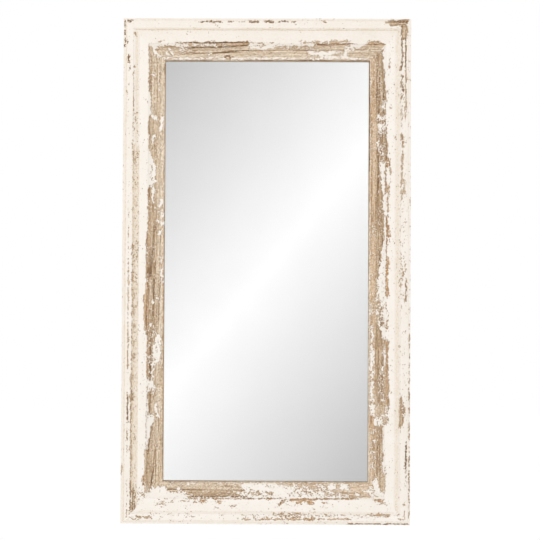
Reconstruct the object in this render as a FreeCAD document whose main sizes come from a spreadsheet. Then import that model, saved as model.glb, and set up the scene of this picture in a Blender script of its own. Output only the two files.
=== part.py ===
import FreeCAD, Part
import os
import math
from types import SimpleNamespace
import Sketcher

# A full-length wall mirror: a wide mitred wooden moulding round one pane of glass.
# +Z is up and the glass faces -Y. The origin is on the floor line, midway across the
# width and midway through the depth. All sizes are in millimetres.

Vector = FreeCAD.Vector

SIZES = {
    # the whole frame
    "overall_width": 810,
    "overall_height": 1420,
    # the moulding's section, from its outer edge towards the glass
    "edge_step_width": 7,
    "rim_width": 22,
    "shoulder_width": 10,
    "cove_width": 15,
    "band_width": 26,
    "scoop_width": 32,
    "bead_width": 15,
    # the same section, from the rebate up to the rim
    "lip_thickness": 6.6,
    "bead_rise": 1,
    "scoop_rise": 11,
    "ridge_rise": 1.2,
    "band_rise": 1.5,
    "cove_rise": 8.5,
    "shoulder_drop": 2,
    "edge_step_drop": 3.5,
    "rim_round": 2.5,
    "arris_round": 1.2,
    "lip_round": 3,
    # what lies in the rebate
    "rebate_width": 12,
    "glass_thickness": 4,
    "silver_thickness": 0.2,
    "board_thickness": 6,
    "glass_play": 2,
    "board_play": 1.5,
    "packer_length": 60,
    "packer_end_gap": 110,
    # the nails across each mitre
    "nail_leg": 7,
    "nail_plate": 0.6,
    "nail_depth": 10,
    "nail_play": 0.05,
    "outer_nail_inset": 32,
    "inner_nail_inset": 76,
    # screws
    "screw_fit": 0.05,
    "screw_radius": 1.75,
    "screw_length": 14,
    "screw_head_radius": 3.5,
    "screw_head_height": 2,
    "cross_reach": 1.9,
    "cross_half_width": 0.4,
    "cross_depth": 1,
    "hanger_screw_radius": 2,
    "hanger_screw_length": 24,
    "hanger_screw_head_radius": 4,
    "hanger_screw_head_height": 2.4,
    "hole_play": 0.35,
    # the clips that hold the board in
    "clip_width": 14,
    "clip_thickness": 1.2,
    "clip_tail": 9,
    "clip_lap": 12,
    "clip_screw_inset": 14,
    "stile_clip_spacing": 400,
    "rail_clip_spacing": 280,
    # the plates across each corner
    "plate_inset": 38,
    "plate_arm": 90,
    "plate_width": 18,
    "plate_thickness": 1.5,
    "plate_first_hole": 42,
    "plate_second_hole": 78,
    # the hangers
    "hanger_inset": 52,
    "hanger_drop": 270,
    "strap_width": 16,
    "strap_thickness": 1.5,
    "strap_length": 52,
    "strap_first_hole": 29,
    "strap_second_hole": 43,
    "ring_wire_radius": 1.5,
    "ring_play": 0.1,
    "ring_lift": 0.3,
    "ring_bar_gap": 1,
    "ring_corner": 4,
    "ring_leg": 3,
    # the pads that stand on the wall
    "bumper_radius": 11,
    "bumper_inset": 19,
    "bumper_chamfer": 0.8,
    "wall_gap": 0.6,
}

doc = FreeCAD.newDocument("full_length_mirror")
sheet = doc.addObject("Spreadsheet::Sheet", "Sizes")
for row, (alias, number) in enumerate(SIZES.items(), start=1):
    sheet.set(f"A{row}", alias)
    sheet.set(f"B{row}", str(number))
    sheet.setAlias(f"B{row}", alias)
doc.recompute()


class Measure:
    """A length: its number now, and the formula that keeps it true when a size changes."""

    def __init__(self, number, formula):
        self.number = number
        self.formula = formula

    @staticmethod
    def of(thing):
        return thing if isinstance(thing, Measure) else Measure(thing, str(thing))

    def __add__(self, other):
        other = Measure.of(other)
        return Measure(self.number + other.number, f"({self.formula} + {other.formula})")

    def __sub__(self, other):
        other = Measure.of(other)
        return Measure(self.number - other.number, f"({self.formula} - {other.formula})")

    def __mul__(self, other):
        other = Measure.of(other)
        return Measure(self.number * other.number, f"({self.formula} * {other.formula})")

    def __truediv__(self, other):
        other = Measure.of(other)
        return Measure(self.number / other.number, f"({self.formula} / {other.formula})")

    def __neg__(self):
        return self * -1


size = SimpleNamespace(**{name: Measure(sheet.get(name), f"Sizes.{name}") for name in SIZES})
ZERO = Measure(0, "0")

# sizes that follow from the others
rim_inner = size.edge_step_width + size.rim_width
band_outer = rim_inner + size.cove_width
ridge = band_outer + size.band_width
scoop_foot = ridge + size.scoop_width
moulding_width = scoop_foot + size.bead_width
rebate_depth = size.glass_thickness + size.silver_thickness + size.board_thickness
rebate_edge = moulding_width - size.rebate_width
sight_height = rebate_depth + size.lip_thickness
bead_height = sight_height + size.bead_rise
scoop_top = bead_height + size.scoop_rise
band_low = scoop_top + size.ridge_rise
band_high = band_low + size.band_rise
moulding_depth = band_high + size.cove_rise
ring_height = size.strap_thickness + size.ring_wire_radius + size.ring_lift
barrel_bore = size.ring_wire_radius + size.ring_play
barrel_radius = barrel_bore + size.strap_thickness
bumper_thickness = ring_height + barrel_radius + size.wall_gap
back_y = (moulding_depth - bumper_thickness) / 2
glass_width = size.overall_width - (rebate_edge + size.glass_play) * 2
glass_height = size.overall_height - (rebate_edge + size.glass_play) * 2
board_width = size.overall_width - (rebate_edge + size.board_play) * 2
board_height = size.overall_height - (rebate_edge + size.board_play) * 2
clip_screw_line = rebate_edge - size.clip_screw_inset
hanger_z = size.overall_height - size.hanger_drop

RIGHT = Vector(1, 0, 0)
LEFT = Vector(-1, 0, 0)
UP = Vector(0, 0, 1)
DOWN = Vector(0, 0, -1)
FORWARD = Vector(0, -1, 0)
BACKWARD = Vector(0, 1, 0)

PLAY = 1e-6
OVERCUT = 5

sub_parts = []


def keep(piece):
    """Count a piece among those that make up the mirror."""
    sub_parts.append(piece)
    return piece


def place(piece, x, y, z, local_x, local_y, local_z):
    """Turn a piece to the given directions and tie its position to the sizes."""
    turn = FreeCAD.Rotation(local_x, local_y, local_z, "XYZ")
    piece.Placement = FreeCAD.Placement(Vector(x.number, y.number, z.number), turn)
    for axis, distance in zip("xyz", (x, y, z)):
        piece.setExpression(f"Placement.Base.{axis}", distance.formula)


def new_body(label):
    body = doc.addObject("PartDesign::Body", label)
    body.Label = label
    return body


def sketch_on(body, role, name):
    """A new sketch on one of the body's own origin planes."""
    sketch = body.newObject("Sketcher::SketchObject", name)
    plane = next(feature for feature in body.Origin.OriginFeatures if feature.Role == role)
    sketch.AttachmentSupport = (plane, [""])
    sketch.MapMode = "FlatFace"
    return sketch


def tie(sketch, kind, measure, *where):
    """Add one dimension to a sketch and tie it to its formula."""
    index = sketch.addConstraint(Sketcher.Constraint(kind, *where, float(measure.number)))
    name = f"dimension_{index}"
    sketch.renameConstraint(index, name)
    sketch.setExpression(f"Constraints.{name}", measure.formula)


def pin_down(sketch, edge, end, corner):
    """Fix one end of an edge at its distances from the sketch's origin."""
    tie(sketch, "DistanceX", corner[0], -1, 1, edge, end)
    tie(sketch, "DistanceY", corner[1], -1, 1, edge, end)


def point(corner):
    return Vector(corner[0].number, corner[1].number, 0)


def arc_between(start, end, radius, side):
    """An arc that bulges to the right of the way from start to end (side 1) or to the left."""
    chord = end - start
    half = chord.Length / 2
    rise = radius - math.sqrt(radius * radius - half * half)
    across = Vector(chord.y, -chord.x, 0).normalize()
    return Part.Arc(start, start + chord * 0.5 + across * rise * side, end)


def outline(sketch, corners, arcs=None):
    """Draw a closed line through the corners. An arc follows each corner that arcs names."""
    arcs = arcs or {}
    ends = []
    for index, corner in enumerate(corners):
        start = point(corner)
        end = point(corners[(index + 1) % len(corners)])
        if index in arcs:
            radius, side = arcs[index]
            edge = sketch.addGeometry(arc_between(start, end, radius.number, side), False)
            tie(sketch, "Radius", radius, edge)
        else:
            edge = sketch.addGeometry(Part.LineSegment(start, end), False)
        forward = sketch.getPoint(edge, 1).distanceToPoint(start) < PLAY
        first, last = (1, 2) if forward else (2, 1)
        pin_down(sketch, edge, first, corner)
        ends.append((edge, first, last))
    for here, after in zip(ends, ends[1:] + ends[:1]):
        sketch.addConstraint(Sketcher.Constraint("Coincident", here[0], here[2], after[0], after[1]))


def rectangle(sketch, low_x, low_y, high_x, high_y):
    outline(sketch, [(low_x, low_y), (high_x, low_y), (high_x, high_y), (low_x, high_y)])


def circle(sketch, x, y, radius):
    edge = sketch.addGeometry(Part.Circle(point((x, y)), Vector(0, 0, 1), radius.number), False)
    tie(sketch, "Radius", radius, edge)
    pin_down(sketch, edge, 3, (x, y))


def pad(body, sketch, name, length, side_type="One side"):
    """Raise a sketch along its normal."""
    feature = body.newObject("PartDesign::Pad", name)
    feature.Profile = sketch
    feature.SideType = side_type
    feature.setExpression("Length", length.formula)
    return feature


def pocket(body, sketch, name, depth, side_type="One side", reverse=False):
    """Cut a sketch into the body, and stop if nothing came away."""
    doc.recompute()
    before = body.Shape.Volume
    feature = body.newObject("PartDesign::Pocket", name)
    feature.Profile = sketch
    feature.SideType = side_type
    feature.Reversed = reverse
    feature.setExpression("Length", depth.formula)
    doc.recompute()
    if body.Shape.Volume > before - PLAY:
        raise RuntimeError(f"{body.Label}: {name} cuts nothing")
    return feature


def group(label, master, places):
    """Several copies of one piece, kept as separate solids under one name."""
    copies = []
    for number, where in enumerate(places, start=1):
        copy = doc.addObject("App::Link", f"{label}_{number}")
        copy.LinkedObject = master
        place(copy, *where)
        copies.append(copy)
    whole = doc.addObject("Part::Compound", label)
    whole.Label = label
    whole.Links = copies
    return keep(whole)


# Moulding
# Each length is drawn with its section in the local XY plane: X runs from the outer
# edge towards the glass, Y from the back towards the rim, and Z along the length.


def mitre(body, length):
    """Cut both ends at 45 degrees, long on the outer edge."""
    half = length / 2
    reach = moulding_width + OVERCUT
    for name, end in (("FirstMitre", 1), ("SecondMitre", -1)):
        sketch = sketch_on(body, "XZ_Plane", name + "Line")
        outline(sketch, [(ZERO, half * end), (reach, half * end), (reach, (half - reach) * end)])
        pocket(body, sketch, name, moulding_depth * 2 + OVERCUT, side_type="Symmetric")


def nail_slots(body, length):
    """The slots that the V-nails cut in this length, one leg of each nail."""
    sketch = sketch_on(body, "XZ_Plane", "NailSlotLines")
    half_slot = size.nail_plate / 2 + size.nail_play
    for inset in (size.outer_nail_inset, size.inner_nail_inset):
        apex = length / 2 - inset
        foot = apex - size.nail_leg - size.nail_play
        for end in (1, -1):
            rectangle(sketch, inset - half_slot, foot * end, inset + half_slot, (apex + size.nail_leg) * end)
    pocket(body, sketch, "NailSlots", size.nail_depth + size.nail_play)


def pilot_holes(body, name, radius, depth, centres):
    sketch = sketch_on(body, "XZ_Plane", name + "Circles")
    for across, along in centres:
        circle(sketch, across, along, radius + size.screw_fit)
    pocket(body, sketch, name, depth)


def level_end_radius(run, rise):
    """The radius of an arc that is level at one end and has this run and rise."""
    return (run * run + rise * rise) / rise / 2


def moulding_length(label, length, clip_places):
    body = new_body(label)
    section = sketch_on(body, "XY_Plane", "Section")
    step_height = moulding_depth - size.edge_step_drop
    shoulder_radius = level_end_radius(size.shoulder_width, size.shoulder_drop)
    cove_radius = level_end_radius(size.cove_width, size.cove_rise - size.rim_round)
    scoop_radius = level_end_radius(size.scoop_width, size.scoop_rise)
    corners = [
        (ZERO, ZERO),
        (rebate_edge, ZERO),
        (rebate_edge, rebate_depth),
        (moulding_width, rebate_depth),
        (moulding_width, sight_height - size.lip_round),
        (moulding_width - size.lip_round, sight_height),
        (scoop_foot, bead_height),
        (ridge, scoop_top),
        (ridge, band_low),
        (band_outer, band_high),
        (rim_inner, moulding_depth - size.rim_round),
        (rim_inner - size.rim_round, moulding_depth),
        (size.edge_step_width + size.shoulder_width, moulding_depth),
        (size.edge_step_width, moulding_depth - size.shoulder_drop),
        (size.edge_step_width, step_height),
        (size.arris_round, step_height),
        (ZERO, step_height - size.arris_round),
    ]
    arcs = {
        4: (size.lip_round, 1),
        6: (scoop_radius, -1),
        9: (cove_radius, -1),
        10: (size.rim_round, 1),
        12: (shoulder_radius, 1),
        15: (size.arris_round, 1),
    }
    outline(section, corners, arcs)
    pad(body, section, "Length", length, side_type="Symmetric")
    mitre(body, length)
    nail_slots(body, length)
    half = length / 2
    plate_line = size.plate_inset + size.plate_width / 2
    plate_centres = []
    for hole in (size.plate_first_hole, size.plate_second_hole):
        along = half - size.plate_inset - hole
        plate_centres += [(plate_line, along), (plate_line, -along)]
    plate_depth = size.screw_length - size.plate_thickness
    pilot_holes(body, "PlateHoles", size.screw_radius, plate_depth, plate_centres)
    clip_depth = size.screw_length - size.clip_thickness
    clip_centres = [(clip_screw_line, along) for along in clip_places]
    pilot_holes(body, "ClipHoles", size.screw_radius, clip_depth, clip_centres)
    return body


stile_clips = (-size.stile_clip_spacing, ZERO, size.stile_clip_spacing)
rail_clips = (-size.rail_clip_spacing / 2, size.rail_clip_spacing / 2)
half_width = size.overall_width / 2
half_height = size.overall_height / 2
hanger_holes = (size.strap_first_hole, size.strap_second_hole)

left_stile = keep(moulding_length("left_stile", size.overall_height, stile_clips))
place(left_stile, -half_width, back_y, half_height, RIGHT, FORWARD, DOWN)
right_stile = keep(moulding_length("right_stile", size.overall_height, stile_clips))
place(right_stile, half_width, back_y, half_height, LEFT, FORWARD, UP)
bottom_rail = keep(moulding_length("bottom_rail", size.overall_width, rail_clips))
place(bottom_rail, ZERO, back_y, ZERO, UP, FORWARD, RIGHT)
top_rail = keep(moulding_length("top_rail", size.overall_width, rail_clips))
place(top_rail, ZERO, back_y, size.overall_height, DOWN, FORWARD, LEFT)

# The stiles alone take the hangers' screws. The left stile's own length runs downwards.
hanger_depth = size.hanger_screw_length - size.strap_thickness
for stile, upward in ((left_stile, -1), (right_stile, 1)):
    hole_places = [(size.hanger_inset, (hanger_z - hole - half_height) * upward) for hole in hanger_holes]
    pilot_holes(stile, "HangerHoles", size.hanger_screw_radius, hanger_depth, hole_places)


# Glass, silvering and backing board
# Three flat sheets fill the rebate: glass against the lip, its silvering, and the
# board, whose back lies flush with the back of the moulding.


def sheet_of(label, width, height, thickness, behind):
    body = new_body(label)
    sketch = sketch_on(body, "XY_Plane", "Outline")
    rectangle(sketch, -width / 2, -height / 2, width / 2, height / 2)
    pad(body, sketch, "Thickness", thickness)
    place(body, ZERO, back_y - behind, half_height, RIGHT, UP, FORWARD)
    return keep(body)


glass_behind = size.board_thickness + size.silver_thickness
sheet_of("mirror_glass", glass_width, glass_height, size.glass_thickness, glass_behind)
sheet_of("silver_coating", glass_width, glass_height, size.silver_thickness, size.board_thickness)
sheet_of("backing_board", board_width, board_height, size.board_thickness, ZERO)

# Packers
# Thin strips that centre the glass in its rebate, two to each long side and two below.
packer = doc.addObject("Part::Box", "packer")
packer.setExpression("Length", size.packer_length.formula)
packer.setExpression("Width", size.glass_play.formula)
packer.setExpression("Height", size.glass_thickness.formula)
packer_y = back_y - rebate_depth + size.glass_thickness
from_end = rebate_edge + size.packer_end_gap
left_wall = -half_width + rebate_edge
right_wall = half_width - rebate_edge
top_start = size.overall_height - from_end
group("glass_packers", packer, [
    (-half_width + from_end, packer_y, rebate_edge, RIGHT, UP, FORWARD),
    (half_width - from_end - size.packer_length, packer_y, rebate_edge, RIGHT, UP, FORWARD),
    (left_wall, packer_y, from_end + size.packer_length, DOWN, RIGHT, FORWARD),
    (left_wall, packer_y, top_start, DOWN, RIGHT, FORWARD),
    (right_wall, packer_y, from_end, UP, LEFT, FORWARD),
    (right_wall, packer_y, top_start - size.packer_length, UP, LEFT, FORWARD),
])

# V-nails
# Bent from flat strip, two to a corner, driven flush with the back. The two legs stand
# one in each length of moulding, and their bend lies on the mitre line.
v_nail = new_body("v_nail")
nail_line = sketch_on(v_nail, "XY_Plane", "Strip")
half_plate = size.nail_plate / 2
outline(nail_line, [
    (-half_plate, -half_plate),
    (size.nail_leg, -half_plate),
    (size.nail_leg, half_plate),
    (half_plate, half_plate),
    (half_plate, size.nail_leg),
    (-half_plate, size.nail_leg),
])
pad(v_nail, nail_line, "Height", size.nail_depth)
nail_places = []
for inset in (size.outer_nail_inset, size.inner_nail_inset):
    left_x = -half_width + inset
    right_x = half_width - inset
    top_z = size.overall_height - inset
    nail_places += [
        (left_x, back_y, inset, RIGHT, UP, FORWARD),
        (right_x, back_y, inset, UP, LEFT, FORWARD),
        (right_x, back_y, top_z, LEFT, DOWN, FORWARD),
        (left_x, back_y, top_z, DOWN, RIGHT, FORWARD),
    ]
group("corner_v_nails", v_nail, nail_places)


# Screws
# Round-headed wood screws with a cross recess. The origin is under the head, which
# stands on +Z, and the shank runs down -Z.


def wood_screw(label, radius, length, head_radius, head_height):
    body = new_body(label)
    half_section = sketch_on(body, "XZ_Plane", "HalfSection")
    brim = head_height / 3
    crown = head_height - brim
    outline(half_section, [
        (ZERO, radius - length),
        (radius, radius * 2 - length),
        (radius, ZERO),
        (head_radius, ZERO),
        (head_radius, brim),
        (head_radius - crown, head_height),
        (ZERO, head_height),
    ], {4: (crown, 1)})
    turned = body.newObject("PartDesign::Revolution", "Turned")
    turned.Profile = half_section
    turned.ReferenceAxis = (half_section, ["V_Axis"])
    turned.Angle = 360
    doc.recompute()
    cross = sketch_on(body, "XY_Plane", "CrossLine")
    cross.AttachmentOffset = FreeCAD.Placement(Vector(0, 0, head_height.number), FreeCAD.Rotation())
    cross.setExpression("AttachmentOffset.Base.z", head_height.formula)
    reach, half = size.cross_reach, size.cross_half_width
    outline(cross, [
        (half, -reach), (half, -half), (reach, -half), (reach, half), (half, half), (half, reach),
        (-half, reach), (-half, half), (-reach, half), (-reach, -half), (-half, -half), (-half, -reach),
    ])
    pocket(body, cross, "Cross", size.cross_depth)
    return body


small_screw = wood_screw(
    "small_screw", size.screw_radius, size.screw_length, size.screw_head_radius, size.screw_head_height)
large_screw = wood_screw(
    "large_screw", size.hanger_screw_radius, size.hanger_screw_length,
    size.hanger_screw_head_radius, size.hanger_screw_head_height)

# Backing clips
# A flat steel clip lies on the back of the moulding and laps over the board. One screw
# holds it. Its local X points towards the glass and its Z away from the wood.
clip = new_body("clip")
clip_line = sketch_on(clip, "XY_Plane", "ClipOutline")
clip_side = size.clip_width / 2
clip_reach = size.clip_screw_inset + size.clip_lap
rectangle(clip_line, -size.clip_tail, -clip_side, clip_reach, clip_side)
circle(clip_line, ZERO, ZERO, size.screw_radius + size.hole_play)
pad(clip, clip_line, "ClipThickness", size.clip_thickness)


def clip_spots(height):
    """Where the clips' screws stand, at a height above the back of the wood."""
    y = back_y + height
    spots = []
    for along in stile_clips:
        spots.append((-half_width + clip_screw_line, y, half_height + along, RIGHT, DOWN, BACKWARD))
        spots.append((half_width - clip_screw_line, y, half_height + along, LEFT, UP, BACKWARD))
    for along in rail_clips:
        spots.append((along, y, clip_screw_line, UP, RIGHT, BACKWARD))
        spots.append((along, y, size.overall_height - clip_screw_line, DOWN, LEFT, BACKWARD))
    return spots


group("backing_clips", clip, clip_spots(ZERO))
group("clip_screws", small_screw, clip_spots(size.clip_thickness))

# Corner plates
# A flat steel angle screwed across each mitre on the back. Its two arms run along the
# local X and Y, and its Z points away from the wood.
near_x = half_width - size.plate_inset
near_top = size.overall_height - size.plate_inset
plate_corners = {
    "top_left": (-near_x, near_top, RIGHT, DOWN),
    "top_right": (near_x, near_top, DOWN, LEFT),
    "bottom_right": (near_x, size.plate_inset, LEFT, UP),
    "bottom_left": (-near_x, size.plate_inset, UP, RIGHT),
}
plate_holes = []
for hole in (size.plate_first_hole, size.plate_second_hole):
    plate_holes += [(hole, size.plate_width / 2), (size.plate_width / 2, hole)]


def signed(direction, axis):
    """1, -1 or 0: how far one step along a direction moves along an axis."""
    return round(direction.dot(axis))


plate_screw_places = []
for corner, (x, z, along, across) in plate_corners.items():
    plate = new_body(f"corner_plate_{corner}")
    plate_line = sketch_on(plate, "XY_Plane", "Angle")
    arm, width = size.plate_arm, size.plate_width
    outline(plate_line, [(ZERO, ZERO), (arm, ZERO), (arm, width), (width, width), (width, arm), (ZERO, arm)])
    for hole_x, hole_y in plate_holes:
        circle(plate_line, hole_x, hole_y, size.screw_radius + size.hole_play)
    pad(plate, plate_line, "PlateThickness", size.plate_thickness)
    place(plate, x, back_y, z, along, across, BACKWARD)
    keep(plate)
    for hole_x, hole_y in plate_holes:
        screw_x = x + hole_x * signed(along, RIGHT) + hole_y * signed(across, RIGHT)
        screw_z = z + hole_x * signed(along, UP) + hole_y * signed(across, UP)
        plate_screw_places.append((screw_x, back_y + size.plate_thickness, screw_z, RIGHT, DOWN, BACKWARD))
group("corner_plate_screws", small_screw, plate_screw_places)

# Hangers
# On each stile a steel strap ends in a rolled barrel, and a wire ring turns in it. The
# strap's local Y points up and its Z away from the wood. Its origin is under the barrel.
bar_half = size.strap_width / 2 + size.ring_bar_gap
ring_half = bar_half + size.ring_corner
leg_foot = -(size.ring_corner + size.ring_leg)
ring_foot = leg_foot - ring_half


def hanger_strap(label):
    body = new_body(label)
    half = size.strap_width / 2
    straight = half - size.strap_length
    strip = sketch_on(body, "XY_Plane", "StripOutline")
    outline(strip, [
        (half, straight),
        (half, ZERO),
        (-half, ZERO),
        (-half, straight),
        (ZERO, -size.strap_length),
    ], {3: (half, 1), 4: (half, 1)})
    for hole in hanger_holes:
        circle(strip, ZERO, -hole, size.hanger_screw_radius + size.hole_play)
    pad(body, strip, "StripThickness", size.strap_thickness)
    barrel = sketch_on(body, "YZ_Plane", "BarrelCircle")
    circle(barrel, ZERO, ring_height, barrel_radius)
    pad(body, barrel, "Barrel", size.strap_width, side_type="Symmetric")
    bore = sketch_on(body, "YZ_Plane", "BoreCircle")
    circle(bore, ZERO, ring_height, barrel_bore)
    pocket(body, bore, "Bore", size.strap_width + OVERCUT, side_type="Symmetric")
    return keep(body)


def hanger_ring(label):
    """A closed ring of wire: a straight bar through the barrel, two legs and a round foot."""
    body = new_body(label)
    path = sketch_on(body, "XY_Plane", "WirePath")
    outline(path, [
        (ZERO, ZERO),
        (-bar_half, ZERO),
        (-ring_half, -size.ring_corner),
        (-ring_half, leg_foot),
        (ZERO, ring_foot),
        (ring_half, leg_foot),
        (ring_half, -size.ring_corner),
        (bar_half, ZERO),
    ], {1: (size.ring_corner, 1), 3: (ring_half, 1), 4: (ring_half, 1), 6: (size.ring_corner, 1)})
    wire = sketch_on(body, "YZ_Plane", "WireSection")
    circle(wire, ZERO, ZERO, size.ring_wire_radius)
    pipe = body.newObject("PartDesign::AdditivePipe", "Wire")
    pipe.Profile = wire
    pipe.Spine = (path, [f"Edge{number + 1}" for number in range(path.GeometryCount)])
    return keep(body)


hanger_screw_places = []
for side, hanger_x in (("left", -half_width + size.hanger_inset), ("right", half_width - size.hanger_inset)):
    strap = hanger_strap(f"{side}_hanger_strap")
    place(strap, hanger_x, back_y, hanger_z, LEFT, UP, BACKWARD)
    ring = hanger_ring(f"{side}_hanger_ring")
    place(ring, hanger_x, back_y + ring_height, hanger_z, RIGHT, UP, FORWARD)
    for hole in hanger_holes:
        head_seat = back_y + size.strap_thickness
        hanger_screw_places.append((hanger_x, head_seat, hanger_z - hole, LEFT, UP, BACKWARD))
group("hanger_screws", large_screw, hanger_screw_places)

# Wall bumpers
# A firm felt pad at each corner of the back. They are thick enough to keep the hangers
# off the wall, so their four faces are the plane that meets it.
bumper_x = half_width - size.bumper_inset
bumper_top = size.overall_height - size.bumper_inset
bumper_corners = {
    "top_left": (-bumper_x, bumper_top),
    "top_right": (bumper_x, bumper_top),
    "bottom_right": (bumper_x, size.bumper_inset),
    "bottom_left": (-bumper_x, size.bumper_inset),
}
for corner, (x, z) in bumper_corners.items():
    bumper = new_body(f"wall_bumper_{corner}")
    half_pad = sketch_on(bumper, "XZ_Plane", "HalfPad")
    outline(half_pad, [
        (ZERO, ZERO),
        (size.bumper_radius, ZERO),
        (size.bumper_radius, bumper_thickness - size.bumper_chamfer),
        (size.bumper_radius - size.bumper_chamfer, bumper_thickness),
        (ZERO, bumper_thickness),
    ])
    turned = bumper.newObject("PartDesign::Revolution", "Turned")
    turned.Profile = half_pad
    turned.ReferenceAxis = (half_pad, ["V_Axis"])
    turned.Angle = 360
    place(bumper, x, back_y, z, LEFT, UP, BACKWARD)
    keep(bumper)

# Check every object, then write each piece to its own file
doc.recompute()
for item in doc.Objects:
    if "Invalid" in item.State or "Error" in item.State:
        raise RuntimeError(f"{item.Label} failed: {item.State}")
for piece in sub_parts:
    if piece.Shape.isNull() or not piece.Shape.isValid() or piece.Shape.Volume <= 0:
        raise RuntimeError(f"{piece.Label} has no valid shape")

os.makedirs("parts", exist_ok=True)
for piece in sub_parts:
    piece.Shape.exportStep(f"parts/{piece.Label}.step")
    box = piece.Shape.BoundBox
    print(
        f"{piece.Label}: {len(piece.Shape.Solids)} solid(s), {piece.Shape.Volume:.0f} mm3, "
        f"X {box.XMin:.1f}..{box.XMax:.1f} Y {box.YMin:.1f}..{box.YMax:.1f} "
        f"Z {box.ZMin:.1f}..{box.ZMax:.1f}"
    )
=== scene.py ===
import math
import bmesh
import bpy
import numpy as np
from mathutils import Matrix, Vector


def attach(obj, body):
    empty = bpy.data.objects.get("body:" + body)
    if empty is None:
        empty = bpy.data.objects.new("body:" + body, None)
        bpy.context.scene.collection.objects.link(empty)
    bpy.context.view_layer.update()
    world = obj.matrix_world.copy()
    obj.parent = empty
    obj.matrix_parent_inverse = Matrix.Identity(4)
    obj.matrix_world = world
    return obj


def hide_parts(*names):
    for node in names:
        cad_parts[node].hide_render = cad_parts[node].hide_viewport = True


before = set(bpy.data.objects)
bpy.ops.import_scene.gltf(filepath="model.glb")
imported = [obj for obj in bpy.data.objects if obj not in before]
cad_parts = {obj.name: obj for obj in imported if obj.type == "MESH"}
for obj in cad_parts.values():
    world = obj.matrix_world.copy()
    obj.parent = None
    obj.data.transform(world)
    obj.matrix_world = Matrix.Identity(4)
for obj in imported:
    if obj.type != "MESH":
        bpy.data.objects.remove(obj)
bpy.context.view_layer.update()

# Painted pine moulding
# Four lengths of one pine moulding, mitred and glued at the corners, with a rebate at the
# back for the glass. The wood was stained brown, painted a chalky antique white and rubbed
# back by hand, most of all on the scooped slope beside the glass.

# Measures are in mm, and MM turns them into metres. The glass shows from SIGHT inwards, the
# back of the wood lies BACK_FACE behind the middle of the depth, and each length has points
# every STATION_SPACING along it.
MM = 0.001
FRAME_WIDTH = 810
FRAME_HEIGHT = 1420
SIGHT = 117
REBATE_EDGE = 105
REBATE_DEPTH = 10.2
RIM_HEIGHT = 40
BACK_FACE = 16.5
STATION_SPACING = 2.5

# Each run of the section starts at a distance from the outer edge and a height above the
# back. Then come the spacing of its points and the radius of its arc: 0 is straight, and
# below 0 is hollow.
SECTION = [
    (0, 0, 12, 0),
    (REBATE_EDGE, 0, 3.4, 0),
    (REBATE_EDGE, REBATE_DEPTH, 3, 0),
    (SIGHT, REBATE_DEPTH, 1.2, 0),
    (SIGHT, 13.8, 0.8, 3),
    (114, 16.8, 1.1, 0),
    (102, 17.8, 1.1, -52.05),
    (70, 28.8, 0.6, 0),
    (70, 30, 1.3, 0),
    (44, 31.5, 1.1, -21.75),
    (29, 37.5, 0.7, 2.5),
    (26.5, RIM_HEIGHT, 1.2, 0),
    (17, RIM_HEIGHT, 1.2, 26),
    (7, 38, 0.75, 0),
    (7, 36.5, 1.2, 0),
    (1.2, 36.5, 0.5, 1.2),
    (0, 35.3, 3, 0),
]


def run_points(start, end, spacing, radius):
    """Points along one run of the section, from its start up to but without its end."""
    chord = end - start
    length = np.hypot(*chord)
    if radius == 0:
        count = max(1, round(length / spacing))
        return start + chord * (np.arange(count) / count)[:, None]
    size = abs(radius)
    half_turn = math.asin(length / 2 / size)
    forward = chord / length
    outward = np.array([forward[1], -forward[0]]) * math.copysign(1, radius)
    centre = start + chord / 2 - outward * size * math.cos(half_turn)
    count = max(2, round(2 * half_turn * size / spacing))
    turn = half_turn * (2 * np.arange(count) / count - 1)
    return centre + size * (outward * np.cos(turn)[:, None] + forward * np.sin(turn)[:, None])


corners = np.array([run[:2] for run in SECTION], float)
section = np.concatenate([
    run_points(corners[index], corners[(index + 1) % len(SECTION)], spacing, radius)
    for index, (_, _, spacing, radius) in enumerate(SECTION)
])
tangent = np.roll(section, -1, axis=0) - np.roll(section, 1, axis=0)
tangent /= np.hypot(tangent[:, 0], tangent[:, 1])[:, None]
section_normal = np.stack([tangent[:, 1], -tangent[:, 0]], axis=1)

# Soft noise repeats after this many cells.
LATTICE_SIZE = 256


def soft_noise(along, across, along_cell, across_cell, seed):
    """Smooth noise from -1 to 1, with one random number to each cell of that size in mm.
    The cells are turned by the seed, so that no two layers of noise line up."""
    lattice = np.random.default_rng(seed).uniform(-1, 1, (LATTICE_SIZE, LATTICE_SIZE))
    row = along / along_cell * math.cos(seed) - across / across_cell * math.sin(seed)
    column = along / along_cell * math.sin(seed) + across / across_cell * math.cos(seed)
    row_low = np.floor(row).astype(int)
    column_low = np.floor(column).astype(int)
    row_share = row - row_low
    column_share = column - column_low
    row_share = row_share * row_share * (3 - 2 * row_share)
    column_share = column_share * column_share * (3 - 2 * column_share)
    rows = (row_low % LATTICE_SIZE, (row_low + 1) % LATTICE_SIZE)
    columns = (column_low % LATTICE_SIZE, (column_low + 1) % LATTICE_SIZE)
    near = lattice[rows[0], columns[0]] * (1 - row_share) + lattice[rows[1], columns[0]] * row_share
    far = lattice[rows[0], columns[1]] * (1 - row_share) + lattice[rows[1], columns[1]] * row_share
    return near * (1 - column_share) + far * column_share


def rough_noise(along, across, along_cell, across_cell, seed):
    """Four layers of soft noise, each half as large and two thirds as strong as the last."""
    return sum(
        soft_noise(along, across, along_cell / 2**layer, across_cell / 2**layer, seed + layer) * 0.67**layer
        for layer in range(4)
    )


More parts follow.
